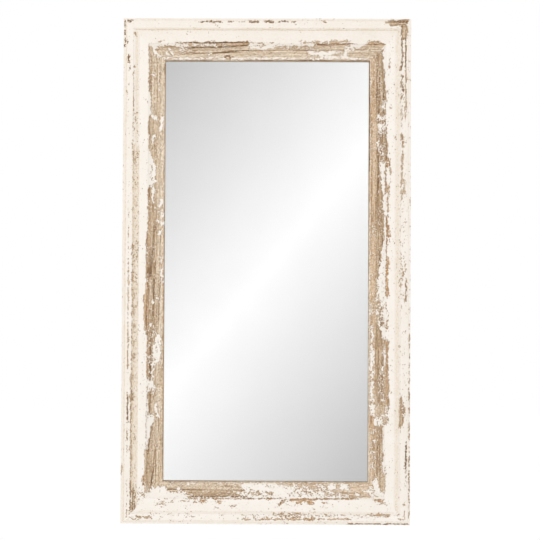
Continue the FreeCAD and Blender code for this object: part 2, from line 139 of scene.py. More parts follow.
def brushed(strokes, along, across, ground, softness):
    """Lay strokes over a ground, each over the last. A stroke says from where to where it
    goes along the length, from where to where across, the same two where it ends if it
    slants, and how strong it is. Its edges fade over the softness, in mm, or over 1.2 times
    its own width where that is less."""
    field = np.full(along.shape, float(ground))
    for low, high, near, far, *slant, amount in strokes:
        near_end, far_end = slant or (near, far)
        share = np.clip((along - low) / (high - low), 0, 1)
        from_near = across - near - (near_end - near) * share
        from_far = far + (far_end - far) * share - across
        from_end = np.minimum(along - low, high - along) / 2
        inside = np.minimum(np.minimum(from_near, from_far), from_end)
        fade = min(softness, 1.2 * (far - near))
        field += (amount - field) * np.clip(inside / fade + 0.5, 0, 1)
    return field


# How worn each length is: -1 is whole paint, 0 is half and half, 1 is bare wood, and from
# there on the wood has fewer crumbs of paint left in it. The left and right lengths are
# measured upwards, the top and bottom ones from the left, and all of them inwards from the
# outer edge, as they are seen from in front.
EVERYWHERE_WORN = [
    (0, 1420, 0.5, 3.5, -0.75),
    (0, 1420, 15, 19, -0.7),
    (0, 1420, 26, 30, -0.65),
    (0, 1420, 70, 73, -0.55),
    (0, 1420, 73, 105, -0.65),
    (0, 1420, 105, 120, -0.45),
    (0, 1420, 117, 130, 0.9),
]
# Chips follow the arrises, which lie at these distances from the outer edge, and wander
# between them.
ARRISES = np.array([0, 7, 17, 28, 71, 116])
WORN = {}
WORN["left_stile"] = [
    (138, 172, 1.5, 5, 0.6),
    (1336, 1418, 2.5, 6.5, 0.7),
    (1353, 1360, 10, 14, 0.8),
    (1298, 1316, 11.5, 18, 0.95),
    (1272, 1284, 15, 21, 1.1),
    (1205, 1214, 10.5, 13.5, 0.6),
    (850, 965, 16, 21, -0.3),
    (800, 836, 16.5, 19.5, 0.6),
    (700, 800, 17, 19.2, 0.15),
    (430, 700, 17, 19.8, 0.6),
    (356, 430, 17, 20, -0.1),
    (285, 356, 16, 20.5, 0.85),
    (190, 262, 16, 19.7, 0.4),
    (20, 112, 16, 20, 0.15),
    (1278, 1292, 29.5, 32, 0.6),
    (1155, 1266, 28.5, 31, 0.75),
    (1370, 1380, 31, 35, 0.6),
    (1060, 1155, 26, 32, -0.2),
    (1060, 1155, 32, 46, -0.45),
    (800, 1060, 28, 34, -0.2),
    (800, 1060, 34, 47, -0.3),
    (680, 800, 28, 36, 0.1),
    (680, 800, 36, 46, -0.25),
    (430, 700, 27.8, 30.8, 0.5),
    (430, 680, 30.8, 38, -0.1),
    (430, 680, 38, 45, -0.4),
    (345, 430, 26, 31, 0.35),
    (345, 430, 31, 44, -0.45),
    (120, 345, 27, 30.3, 0.85),
    (120, 345, 33, 41, -0.45),
    (30, 120, 26, 29.8, 1.15),
    (36, 116, 30.4, 33.2, -0.6),
    (34, 114, 33.6, 36.8, 1.1),
    (34, 112, 37, 38.6, -0.6),
    (32, 112, 38.8, 42, 1.1),
    (44, 100, 48.5, 51.5, 0.2),
    (24, 40, 27, 33, 0.1),
    (343, 363, 24.5, 34, 1),
    (205, 1330, 73, 119, 1),
    (1322, 1338, 72, 78.5, 0.9),
    (1312, 1336, 99, 107, 82, 90, -1.5),
    (1145, 1208, 66, 79.5, 66, 77.5, -0.95),
    (1246, 1266, 82, 92, 0.0),
    (1222, 1252, 102, 106, 97, 101, -0.8),
    (1137, 1150, 80, 98, 82, 101, -0.95),
    (1103, 1142, 103, 110, 107, 117, -1.1),
    (1063, 1096, 79, 85, 86, 94, -1.05),
    (1000, 1046, 66, 94, 66, 76, -0.8),
    (942, 1002, 66, 93, 66, 94, -0.7),
    (993, 1003, 84, 91, 0.5),
    (962, 985, 77, 84, -0.1),
    (938, 946, 74, 82, 0.3),
    (904, 946, 86, 90, 84, 94, -0.95),
    (890, 907, 104, 115, -1.2),
    (866, 884, 96, 112, 0.15),
    (838, 850, 108, 119, -0.8),
    (862, 873, 110, 119, -0.7),
    (846, 856, 97, 105, -0.9),
    (812, 823, 101, 112, -0.9),
    (740, 820, 66.5, 72, 68.5, 72, 0.8),
    (726, 746, 107, 116, -0.3),
    (696, 716, 105, 114, -0.85),
    (668, 700, 110, 116, -0.3),
    (690, 740, 67, 72, 0.6),
    (600, 725, 61.5, 73, 70.5, 73, 1.2),
    (528, 602, 69.5, 73, 61, 73, 1.2),
    (545, 618, 58.5, 61, -0.35),
    (547, 558, 79, 86, -0.9),
    (619, 629, 83, 90, -0.9),
    (626, 634, 100, 106, -0.6),
    (520, 560, 84, 100, 0.35),
    (450, 545, 72, 78, 0.5),
    (450, 522, 78, 94, 0.2),
    (495, 530, 96, 112, 98, 112, -0.95),
    (446, 500, 89, 111, -0.8),
    (480, 492, 98, 102, 0.7),
    (455, 468, 91, 97, 0.5),
    (506, 516, 101, 105, 0.3),
    (373, 402, 70, 94, -0.55),
    (402, 450, 72, 80, 0.3),
    (402, 450, 84, 92, -0.3),
    (357, 376, 70, 93, 0.15),
    (385, 545, 59, 65, -0.25),
    (300, 345, 60, 76, -0.9),
    (198, 302, 60, 73, 60, 91, -0.95),
    (102, 205, 67, 119, 1.4),
    (190, 345, 69.5, 72.5, 0.1),
    (192, 286, 73, 77.5, 88, 92.5, 1),
    (296, 336, 101, 110, 92, 99, -1.15),
    (108, 131, 60, 68, 0.6),
    (84, 104, 66, 119, 0.0),
    (86, 106, 67, 75, 0.9),
    (90, 106, 80, 86, 0.5),
    (86, 106, 98, 105, 0.9),
    (60, 84, 60, 119, -0.9),
    (74, 90, 50, 70, -0.25),
    (70, 82, 60, 68, 0.25),
    (54, 62, 60, 69, 0.4),
    (52, 72, 100, 118, -0.15),
]
WORN["right_stile"] = [
    (20, 380, 1.6, 5, 0.6),
    (380, 560, 1.2, 4.2, 0.3),
    (560, 1060, 0.8, 3, -0.3),
    (1364, 1409, 12.5, 27.5, 10.5, 28, 1.3),
    (1200, 1364, 13.2, 17.2, 1.15),
    (1165, 1202, 12.5, 18.5, 0.6),
    (1128, 1165, 14, 18, 0.05),
    (1300, 1368, 23, 27, 24.5, 28.7, 1.15),
    (1274, 1302, 25.5, 31, 22, 27, 0.9),
    (1190, 1276, 20, 31, -0.35),
    (1252, 1262, 21, 25.5, 0.7),
    (1230, 1242, 26, 31, 0.9),
    (1214, 1224, 22, 27, 0.9),
    (1193, 1202, 25.5, 30, 0.8),
    (1135, 1190, 22, 30, -0.2),
    (1151, 1162, 25, 30.5, 0.95),
    (1084, 1094, 21.5, 27.5, 0.9),
    (1000, 1080, 21.5, 26.5, 0.7),
    (958, 1002, 24, 28, 0.65),
    (928, 960, 16.5, 28, 0.9),
    (942, 952, 20, 25, -0.9),
    (903, 930, 25, 29, 0.5),
    (700, 903, 20, 32, -0.3),
    (696, 750, 14, 18, 0.1),
    (672, 690, 10.5, 14.5, 0.7),
    (654, 670, 10, 14.5, 0.95),
    (628, 645, 10, 14.5, 0.95),
    (603, 615, 11, 14, 0.4),
    (638, 714, 22, 32, 0.0),
    (600, 638, 24, 30, -0.3),
    (322, 358, 15, 31, 25, 30, 0.65),
    (276, 322, 21, 31, 15, 30.5, 0.65),
    (276, 293, 20, 30.5, 0.9),
    (172, 236, 10, 13.8, 0.95),
    (128, 172, 11, 14.3, 0.5),
    (96, 128, 11, 16, -0.1),
    (55, 66, 15, 22, 0.85),
    (18, 40, 14, 17.7, 0.95),
    (15.5, 22, 15, 31, 0.85),
    (1292, 1322, 60, 64, -0.1),
    (1282, 1290, 59, 63.5, 0.8),
    (1211, 1220, 57, 68, 0.45),
    (1167, 1174, 57, 61.5, 0.6),
    (1077, 1093, 42, 46.5, 0.7),
    (1182, 1330, 69.5, 119, 80, 119, 1),
    (1145, 1184, 92, 119, 1),
    (1143, 1188, 73, 99, 1.3),
    (1171, 1183, 75, 83, -0.6),
    (1183, 1190, 72, 77, -0.5),
    (1040, 1136, 66, 96, 0.1),
    (1136, 1146, 76, 94, -0.7),
    (1127, 1137, 76, 92, 0.6),
    (1010, 1145, 95, 119, 0.95),
    (1095, 1125, 84, 93, -0.35),
    (1072, 1092, 70, 87, 0.9),
    (1042, 1068, 76, 94, -0.15),
    (1014, 1066, 65, 78, 0.85),
    (1024, 1042, 78, 96, 0.7),
    (1008, 1024, 79, 92, -0.5),
    (1000, 1024, 58.5, 66, 0.6),
    (880, 1022, 76, 119, 88, 119, 1),
    (650, 1010, 90, 119, 1.45),
    (998, 1012, 74, 88, -0.75),
    (930, 1018, 68.5, 73, 0.75),
    (948, 1014, 57, 60.7, 0.5),
    (860, 950, 61.5, 66.5, 0.95),
    (838, 862, 64, 68, 0.3),
    (540, 700, 66, 68.8, 0.6),
    (700, 862, 65.8, 69.2, 0.95),
    (802, 838, 61.5, 67, 0.7),
    (700, 746, 62, 69, 57.5, 62.5, 0.95),
    (640, 700, 62.5, 70, 0.95),
    (798, 882, 75, 119, 76, 119, 1),
    (690, 870, 101, 112, 0.5),
    (700, 800, 88, 119, 77, 119, 1),
    (640, 702, 96, 119, 90, 119, 0.95),
    (560, 642, 96, 119, 0.4),
    (560, 642, 76, 96, 0.0),
    (600, 607, 78, 96, 0.6),
    (642, 690, 76, 95, -0.3),
    (575, 600, 61, 68, 0.1),
    (547, 559, 60, 66.5, 0.6),
    (555, 576, 72.5, 82, 0.55),
    (505, 576, 72, 106, 96, 106, 1.2),
    (432, 516, 61.5, 103, 1.1),
    (400, 540, 80, 99, 1.6),
    (335, 434, 58, 103, 0.9),
    (345, 420, 80, 96, 1.3),
    (446, 504, 70.2, 73.8, -0.95),
    (340, 425, 70, 92, 0.45),
    (430, 441, 74, 82, -0.3),
    (477, 491, 74, 81, -0.1),
    (520, 534, 76, 84, -0.7),
    (428, 560, 104, 112, -0.12),
    (335, 428, 102, 112, -0.25),
    (100, 560, 112, 119, 0.6),
    (330, 344, 57, 72, 0.65),
    (283, 332, 58, 76, -0.15),
    (283, 332, 76, 104, -0.25),
    (306, 334, 72, 97, 0.9),
    (276, 302, 65, 80, 0.25),
    (262, 306, 103, 116, 0.95),
    (132, 278, 77, 119, 1),
    (150, 270, 98, 112, 0.35),
    (91, 142, 71, 82, 68, 99, 1),
    (98, 142, 98, 121, 104, 121, 1.2),
    (86, 122, 84, 88.5, 103, 107.5, -1.0),
]
WORN["top_rail"] = [
    (11, 20, 6, 11, 0.95),
    (15, 26, 8, 13, 0.95),
    (212, 222, 9, 13.5, 0.75),
    (224, 234, 8, 11.5, 0.6),
    (238, 276, 7.5, 12.7, 0.95),
    (293, 308, 8, 12.5, 0.8),
    (312, 345, 8, 12, -0.2),
    (360, 386, 7.5, 12.7, 0.95),
    (398, 425, 7, 13, 0.75),
    (437, 461, 7, 12, 0.85),
    (470, 487, 7, 11, 0.5),
    (557, 565, 7, 11.5, 0.9),
    (737, 760, 7, 15, 5, 20, 1),
    (752, 806, 4.5, 19, 3.5, 22, 1),
    (783, 806, 4, 31, 1),
    (96, 113, 64.3, 68.3, 0.9),
    (84, 112, 90, 119, 80, 119, 0.8),
    (98, 356, 79, 119, 1),
    (98, 540, 104, 110, 1.2),
    (640, 735, 104, 111, 1.2),
    (150, 356, 67.5, 79.5, 65, 79.5, 1),
    (146, 184, 71.8, 80.5, -0.6),
    (200, 256, 72.5, 78.7, -0.5),
    (256, 290, 72.5, 77, 0.1),
    (116, 121, 93, 103, -1.0),
    (160, 166, 82, 90, -0.8),
    (168, 172, 84, 95, -0.7),
    (178, 182, 85, 94, -0.8),
    (197, 203, 88, 94, -0.4),
    (236, 244, 101, 106, -0.6),
    (262, 268, 99, 104, -0.6),
    (130, 137, 88, 100, -0.8),
    (356, 526, 86, 119, 1),
    (356, 430, 72, 86, -0.85),
    (360, 394, 67.3, 70.7, 0.5),
    (398, 430, 67.3, 70.5, 0.15),
    (374, 398, 75.5, 79.5, 0.2),
    (422, 530, 77, 88, 0.3),
    (500, 521, 63, 70.5, 0.3),
    (526, 642, 88, 119, 0.85),
    (533, 642, 62, 70, 0.15),
    (533, 632, 71, 90, 1),
    (523, 597, 91, 102, -1),
    (597, 622, 92, 101, 0.0),
    (555, 650, 103, 116, -0.2),
    (624, 638, 79, 106, -0.85),
    (640, 652, 92, 106, -0.8),
    (630, 651, 70.3, 73.2, 0.6),
    (637, 700, 86, 119, 1),
    (640, 656, 80, 87, 0.2),
    (662, 698, 84, 92, 64, 92, 0.95),
    (696, 724, 61, 92, 1),
    (720, 737, 62, 92, 74, 92, 1),
    (690, 735, 88, 119, 1),
    (110, 284, 109.5, 116.5, -0.15),
    (130, 380, 113.6, 116.9, 115.2, 116.9, -0.9),
    (304, 700, 110, 116.5, -0.5),
    (100, 340, 117.5, 125, 0.7),
    (340, 700, 117.5, 125, 1.2),
]
WORN["bottom_rail"] = [
    (640, 804, 2.4, 5.6, 0.85),
    (15, 45, 10.5, 16, 0.35),
    (46, 86, 18, 24, 0.0),
    (46, 55, 14, 22, 0.5),
    (70, 85, 13, 20, 0.35),
    (22, 42, 17, 22, 0.2),
    (100, 300, 18, 26, -0.65),
    (322, 397, 12.5, 16.5, 0.4),
    (395, 537, 13, 17, 0.95),
    (537, 570, 12, 18, 0.0),
    (565, 642, 12.5, 17, 15.5, 20, 0.8),
    (310, 430, 18, 30, -0.3),
    (430, 545, 18, 34, 0.05),
    (545, 692, 20, 32, -0.3),
    (692, 752, 24, 33, 0.4),
    (776, 794, 14.5, 19, 0.6),
    (95, 130, 46, 62, -0.15),
    (108, 132, 58, 68, 0.2),
    (130, 200, 60, 70, -0.25),
    (200, 300, 58, 64, -0.35),
    (221, 236, 62, 68.5, 0.6),
    (271, 280, 59, 66, 0.7),
    (265, 274, 44.5, 49, 0.6),
    (312, 324, 46, 53, 0.3),
    (185, 432, 70, 73.5, 0.35),
    (190, 350, 75.6, 78.4, 0.95),
    (203, 347, 78, 119, 1),
    (183, 205, 82, 119, 0.9),
    (130, 185, 91, 119, 1),
    (106, 132, 104, 119, 0.85),
    (162, 169, 93, 105, -0.85),
    (320, 400, 79, 94, 0.05),
    (335, 376, 97, 113, -0.8),
    (396, 482, 76, 114, -0.7),
    (350, 450, 71, 74.3, 0.5),
    (405, 426, 78, 92, 0.1),
    (445, 453, 54, 69, 0.8),
    (450, 475, 60, 72, -0.1),
    (477, 545, 65, 72, 1.2),
    (524, 541, 57.5, 66, 0.95),
    (488, 512, 58.5, 63.5, 0.6),
    (540, 602, 70.5, 74.3, 0.85),
    (600, 672, 71, 75, 0.45),
    (565, 582, 60, 64.5, 0.5),
    (470, 560, 78, 86, -0.05),
    (500, 592, 88, 98, -0.05),
    (484, 600, 98, 119, 0.25),
    (440, 486, 108, 119, 0.3),
    (455, 486, 88, 106, -0.4),
    (560, 645, 76, 96, 0.0),
    (598, 645, 90, 119, 0.4),
    (585, 603, 96.5, 116, -1),
    (611, 641, 98, 115, -1.05),
    (604, 612, 96, 112, 0.8),
    (643, 700, 76, 119, 1),
    (659, 669, 83, 90, -0.85),
    (676, 700, 90, 97.5, -0.85),
    (700, 714, 95, 119, 0.0),
    (712, 741, 65.5, 73, 0.75),
    (724, 731, 57, 66, 0.6),
    (734, 748, 57.5, 62.5, 0.6),
    (744, 751, 75, 82, 0.5),
    (120, 350, 109.8, 115, 0.2),
    (100, 700, 117, 125, 0.7),
]
# Where the bare wood is darker than the rest, below 0, or lighter, above 0. Most of this is
# the wood's own tone, but along the sight edge it is painted light: the dark line on the lip
# is a painted shadow where the lip meets the glass, the lighter strokes on the lip's inner
# wall are a painted brightening of it and of its reflection in the glass, and the lightest
# strips along the top rail's bead and beside the right stile's lip are painted highlights.
SHADED = {}
SHADED["left_stile"] = [
    (1150, 1345, 77, 98, 0.35),
    (102, 1345, 98, 106, 0.5),
    (102, 1345, 106, 117, 1.3),
    (102, 500, 102, 116.5, 1.6),
    # painted shade and light at the sight edge: dark lines on the lip where it meets the glass, and its inner
    # wall lightened
    (100, 520, 116.8, 119.6, -0.8),
    (520, 900, 117.2, 119.6, 0.2),
    (900, 1260, 117, 119.8, 1.4),
    (1266, 1294, 116.8, 120.5, -1.7),
    (100, 1300, 120, 130, 0.8),
    (1060, 1345, 72, 76, -0.5),
    (730, 945, 68, 73, -0.5),
    (660, 900, 88, 94, 84, 91, -0.7),
    (690, 835, 77, 84, 88, 95, -1.25),
    (545, 740, 84, 88, 92, 97, -1.2),
    (560, 830, 98, 101, 108, 111, -0.7),
    (560, 730, 103, 105, 110, 113, -0.5),
    (535, 720, 60, 65.5, 68, 72, 0.9),
    (535, 720, 66.5, 70, 71.5, 75, -1.0),
    (520, 545, 82, 88, 84, 90, -1.5),
    (395, 522, 77, 82, 81, 86.5, -1.3),
    (380, 445, 90, 118, 0.3),
    (300, 375, 79, 84, -1.0),
    (300, 380, 69, 72, -0.9),
    (100, 300, 90, 116, 0.45),
    (192, 286, 73, 77.5, 88, 92.5, -1.1),
    (96, 150, 82, 85.5, 91, 94.5, -1.6),
    (145, 205, 90, 93, 94, 97, -0.7),
    (110, 240, 98, 100, -0.7),
    (30, 120, 25.5, 29.5, -1.3),
    (36, 112, 33, 42, -0.9),
    (285, 356, 16, 21, -1.2),
    (430, 700, 16, 20, 0.4),
    (240, 345, 26, 31, -0.5),
    (343, 363, 24, 34, -0.4),
    (1335, 1420, 0, 7.5, -2.2),
    (1270, 1365, 8, 24, -1.4),
]
SHADED["right_stile"] = [
    (640, 1330, 75, 99, -0.6),
    (640, 1140, 99, 109.5, 1.3),
    (1140, 1330, 99, 109.5, 0.5),
    (100, 640, 99, 109.5, 0.5),
    (280, 1300, 109.8, 112, -0.4),
    # painted highlight and shade at the sight edge: light strips beside and on the lip, dark lines on the lip
    # where it meets the glass, and its inner wall lightened
    (280, 900, 112.5, 119, 2.2),
    (900, 1310, 112.3, 115.5, 1.2),
    (100, 280, 106, 119, 1.3),
    (700, 900, 116.6, 118.8, -1.6),
    (900, 1040, 116.4, 118.8, -2.0),
    (1020, 1110, 112.6, 116, 1.7),
    (1020, 1110, 116.2, 119.2, -2.9),
    (1100, 1310, 116.2, 119, -2.6),
    (60, 1300, 119, 130, 0.6),
    (1180, 1330, 78, 80, -0.6),
    (1180, 1300, 86, 89, -0.7),
    (1180, 1330, 95, 98, -1.0),
    (1143, 1176, 74, 98, -0.8),
    (1016, 1140, 66, 96, -0.8),
    (780, 1016, 66, 73, -0.7),
    (740, 1010, 76, 84, -0.4),
    (340, 527, 57, 69, -0.5),
    (330, 565, 77, 100, -0.5),
    (560, 640, 74, 84, -1.0),
    (140, 230, 84, 88, 92, 98, -1.0),
    (140, 270, 80, 97, -0.4),
    (278, 358, 15, 31, -0.6),
    (1190, 1276, 20, 32, -1.2),
    (1276, 1366, 11, 31, -1.5),
    (1366, 1409, 11, 14.5, -1.2),
    (1366, 1409, 24, 30, -1.2),
    (96, 240, 10, 16, -1.6),
    (600, 700, 10, 15, -1.2),
    (0, 560, 0, 5, -1.0),
]
SHADED["top_rail"] = [
    (98, 735, 80, 103, 0.5),
    (98, 735, 103, 109, 1.0),
    # painted highlight: the lightest strip along the bead, beside the lip
    (98, 735, 109, 117.6, 2.4),
    (150, 356, 70.5, 78, 0.5),
    (6, 30, 3, 15, -2.2),
    (104, 150, 77, 82, -0.6),
    (150, 356, 67.5, 71.5, 65, 69.5, -1.6),
    (175, 280, 81.5, 85, 79, 83, -1.8),
    (280, 356, 79, 83, 74, 78, -1.8),
    (175, 260, 98, 101, 96, 99, -1.2),
    (250, 325, 95.5, 101, 89.5, 95.5, -1.4),
    (320, 400, 90, 93, 90, 93, -1.0),
    (284, 300, 104, 109, -1.5),
    (283, 290, 106, 117, -1.5),
    (296, 310, 108, 115, -1.2),
    (400, 640, 88, 91, -1.2),
    (533, 642, 60, 70.5, 0.9),
    (533, 651, 70.5, 74, -1.6),
    (640, 740, 86, 89, -0.6),
    (690, 735, 70, 74, -1.0),
    # painted shade and light at the sight edge: dark lines on the lip where it meets the glass, and its inner
    # wall lightened
    (100, 250, 117.6, 120.6, -1.0),
    (250, 340, 117.8, 120.6, 0.8),
    (340, 700, 117.4, 120, -2.2),
    (100, 700, 120.8, 130, 1.4),
    (200, 500, 6, 13, -1.6),
    (738, 806, 3, 31, -0.8),
]
SHADED["bottom_rail"] = [
    (560, 706, 76, 108, 1.2),
    (560, 706, 108, 117, 1.6),
    (100, 345, 79, 95, 0.25),
    (100, 345, 97, 108, 0.6),
    (100, 345, 108, 116.5, 1.2),
    (345, 560, 100, 116.5, 0.8),
    (190, 350, 75.4, 78.4, -1.3),
    (183, 345, 80, 88, -0.3),
    (130, 345, 94.5, 97, -1.3),
    (350, 450, 70.5, 75, -1.5),
    (200, 640, 57, 70, 0.5),
    # painted shade and light at the sight edge: dark lines on the lip where it meets the glass, and its inner
    # wall lightened
    (100, 350, 117.2, 119.6, -0.7),
    (350, 700, 117.4, 119.4, 0.3),
    (100, 700, 120, 130, 1.6),
    (630, 806, 0, 7, -1.6),
    (443, 455, 52, 70, -1.2),
]
# Where the bare wood has kept its orange-brown stain.
WARMED = {}
WARMED["left_stile"] = [
    (400, 945, 68, 77, 0.8),
    (560, 720, 60, 72, 0.8),
    (100, 1340, 115, 120, 0.7),
    (100, 160, 58, 74, 0.6),
    (430, 840, 16, 20, 0.7),
    (430, 800, 27, 34, 0.5),
]
WARMED["right_stile"] = [
    (60, 1330, 98, 114, 0.55),
    (850, 1030, 56, 72, 1.0),
    (530, 860, 56, 70, 1.2),
    (340, 530, 56, 70, 0.7),
    (1000, 1180, 13, 28, 0.4),
    (262, 306, 103, 116, 0.9),
]
WARMED["top_rail"] = [
    (100, 740, 60, 76, 0.6),
    (100, 735, 113, 120, 0.25),
]
WARMED["bottom_rail"] = [
    (200, 760, 56, 74, 1.0),
    (322, 640, 11, 20, 1.0),
    (430, 760, 20, 40, 0.8),
    (480, 720, 76, 118, 0.4),
]
# Where a warm brown stain has stayed in the paint, with painted shade laid in the same way:
# the dark lines at the foot of the outer step and along the cove, the grey outer edge of the
# left stile and the faint darker tint over the whole top rail are painted shade, and the
# darker tone in the cove is partly stain and partly painted shade. The faint tint over the
# rims only makes them a little darker.
STAIN_AND_SHADE = {}
STAIN_AND_SHADE["left_stile"] = [
    # the grey outer edge is painted shade, and so is the dark line at the foot of the outer step
    (0, 1420, 0.5, 8.3, 0.22),
    (0, 1420, 8.3, 10.4, 1.1),
    (0, 1420, 10.4, 28, 0.12),
    # along the cove: a tone that is partly stain and partly painted shade, with painted dark lines at its
    # edges
    (0, 1060, 30, 46.5, 0.65),
    (0, 1060, 29.5, 34, 1.0),
    (0, 1060, 43.5, 47, 0.7),
    (1060, 1385, 33, 46, 0.35),
    (1060, 1385, 37.5, 40, 0.8),
]
STAIN_AND_SHADE["right_stile"] = [
    # a faint darker tint over the rim, and along the cove a tone that is partly stain and partly painted
    # shade
    (0, 1420, 0, 30, 0.12),
    (30, 1390, 31, 45, 0.35),
    (30, 1390, 34, 41, 0.5),
]
STAIN_AND_SHADE["top_rail"] = [
    # painted shade: a faint darker tint over the whole top rail, a line at the foot of the outer step, and a
    # dark line at the foot of the rim along the cove
    (0, 810, 0, 120, 0.15),
    (0, 810, 3.5, 7, 0.4),
    (36, 774, 31.7, 33.8, 1.5),
]
STAIN_AND_SHADE["bottom_rail"] = [
    # a faint tint on the outer edge, painted shade at the outer step, and a tone along the cove that is
    # partly stain and partly painted shade
    (0, 810, 0, 5, 0.15),
    (0, 810, 5, 7, 0.4),
    (0, 810, 9, 11, 0.5),
    (45, 765, 31, 37, 0.3),
    (100, 740, 112, 117.5, 0.4),
]


def linear(hex_colour):
    """An sRGB hex colour as the linear red, green, blue and alpha that a socket takes."""
    shares = [int(hex_colour[place:place + 2], 16) / 255 for place in (1, 3, 5)]
    return [share / 12.92 if share <= 0.04045 else ((share + 0.055) / 1.055) ** 2.4 for share in shares] + [1]


def plug(tree, node, inputs):
    """Give each input a number, a hex colour, or a link from a socket or a node's output."""
    for key, value in inputs.items():
        if isinstance(key, int):
            socket = node.inputs[key]
        else:
            socket = next(each for each in node.inputs if each.enabled and each.name == key)
        if isinstance(value, bpy.types.Node):
            value = next(each for each in value.outputs if each.enabled)
        if isinstance(value, bpy.types.NodeSocket):
            tree.links.new(value, socket)
        else:
            socket.default_value = linear(value) if isinstance(value, str) else value


def add(tree, kind, inputs=None, **settings):
    """Add a node with its settings and its inputs."""
    node = tree.nodes.new("ShaderNode" + kind)
    for name, value in settings.items():
        setattr(node, name, value)
    plug(tree, node, inputs or {})
    return node


def noise(tree, place, scale, **inputs):
    """Noise over a place, with as many cells to a unit as the scale says, all ways or each."""
    if isinstance(scale, tuple):
        place = add(tree, "Mapping", {"Vector": place, "Scale": scale})
        scale = 1
    return add(tree, "TexNoise", {"Vector": place, "Scale": scale, **inputs}).outputs["Fac"]


def calculate(tree, operation, *inputs, **settings):
    """One arithmetic step on these inputs."""
    return add(tree, "Math", dict(enumerate(inputs)), operation=operation, **settings)


def ranged(tree, value, start, end, low=0, high=1, **settings):
    """A value between start and end, turned into one between low and high."""
    limits = {"From Min": start, "From Max": end, "To Min": low, "To Max": high}
    return add(tree, "MapRange", {"Value": value, **limits}, **settings)


def ramp(tree, share, *stops):
    """A colour for each share. A stop is a share and its hex colour."""
    node = add(tree, "ValToRGB", {"Fac": share})
    elements = node.color_ramp.elements
    for index, (position, colour) in enumerate(stops):
        element = elements[index] if index < 2 else elements.new(position)
        element.position = position
        element.color = linear(colour)
    return node


def lay(tree, ground, colour, share, how="MIX"):
    """A colour laid over a ground by a share, as a cover or, with MULTIPLY, as a tint."""
    return add(tree, "Mix", {"Factor": share, "A": ground, "B": colour}, data_type="RGBA", blend_type=how)


def new_finish(name):
    """A material with a Principled surface and nothing else yet."""
    material = bpy.data.materials.new(name)
    material.use_nodes = True
    tree = material.node_tree
    tree.nodes.clear()
    surface = add(tree, "BsdfPrincipled")
    add(tree, "OutputMaterial", {"Surface": surface})
    return material, tree, surface


# Chalk paint over stained pine. The paint is matt, a warm white, and its broken edge stands
# about half a millimetre proud. The wood has long brown streaks, thin dark growth lines and
# pores. Scales are in cells to a millimetre along, across and through the board: streaks are
# about 4 mm wide, and pores are drawn about 1 mm wide, so that they show.
painted_pine, tree, surface = new_finish("chalk_painted_pine")
board = add(tree, "Attribute", attribute_name="board").outputs["Vector"]
worn, shaded, warmed, stain_and_shade = (
    add(tree, "Attribute", attribute_name=attribute).outputs["Fac"]
    for attribute in ("worn", "shaded", "warmed", "stain_and_shade"))

# Flakes swing the wear by up to 1.3 either way, and a chip adds 0.6 at its middle.
flakes = noise(tree, board, (0.28, 0.4, 0.4), Detail=3, Roughness=0.6)
chips = add(tree, "Mapping", {"Vector": board, "Scale": (0.19, 0.25, 0.25)})
chips = add(tree, "TexVoronoi", {"Vector": chips, "Scale": 1})
ragged = calculate(tree, "MULTIPLY_ADD", flakes, 2.6, -1.3)
ragged = calculate(tree, "MULTIPLY_ADD", chips.outputs["Distance"], -1.3, ragged)
ragged = calculate(tree, "ADD", ragged, 0.6)
ragged = calculate(tree, "ADD", ragged, worn)
bare = ranged(tree, ragged, -0.04, 0.05, interpolation_type="SMOOTHSTEP")

# The wood: streaks, pores, grit, growth lines and old stain, and brown beside the paint's
# broken edge, darkest in a thin line at the edge itself, which is partly stain and partly a
# painted shadow of the paint's raised edge.
streaks = noise(tree, board, (0.008, 0.26, 0.26), Detail=5, Roughness=0.62, Distortion=0.35)
# The shaded strokes move the bare wood along its colours: mostly its own tone, but along the sight edge
# painted shadow and painted highlight.
streaks = calculate(tree, "MULTIPLY_ADD", shaded, 0.16, streaks)
wood = ramp(tree, streaks, (0.17, "#5A4330"), (0.32, "#A58A6B"), (0.43, "#D0BB9F"), (0.58, "#E8DAC6"),
            (0.72, "#F5ECDF"))
pores = noise(tree, board, (0.012, 0.9, 0.9), Detail=3, Roughness=0.65)
pore_shade = ramp(tree, pores, (0.34, "#8E765C"), (0.46, "#F1E9DE"), (0.6, "#FFFFFF"))
wood = lay(tree, wood, pore_shade, 0.8, "MULTIPLY")
grit = noise(tree, board, (0.2, 0.34, 0.34), Detail=4, Roughness=0.75)
grit_shade = ramp(tree, grit, (0.35, "#6E573F"), (0.45, "#EDE3D6"), (0.6, "#FFFFFF"))
wood = lay(tree, wood, grit_shade, 0.85, "MULTIPLY")
rings = noise(tree, board, (0.0035, 0.09, 0.11), Detail=2, Roughness=0.5, Distortion=0.8)
ring_phase = calculate(tree, "MULTIPLY", rings, 9)
ring_phase = calculate(tree, "FRACT", ring_phase)
ring_line = ranged(tree, ring_phase, 0, 0.2, 1, 0, interpolation_type="SMOOTHSTEP")
ring_line = calculate(tree, "MULTIPLY", ring_line, 0.55)
wood = lay(tree, wood, "#7A5F45", ring_line, "MULTIPLY")
warm_share = calculate(tree, "MULTIPLY", warmed, 0.75)
wood = lay(tree, wood, "#E9C9A0", warm_share, "MULTIPLY")
# brown beside the paint's edge and a dark line at it: partly stain, partly painted shadow of the paint's edge
edge_stain_and_shadow = ranged(tree, ragged, 0.1, 0.7, 0.7, 0)
wood = lay(tree, wood, "#9A7449", edge_stain_and_shadow)
edge_line_stain_and_shadow = ranged(tree, ragged, 0.05, 0.25, 0.6, 0)
wood = lay(tree, wood, "#6B5138", edge_line_stain_and_shadow)

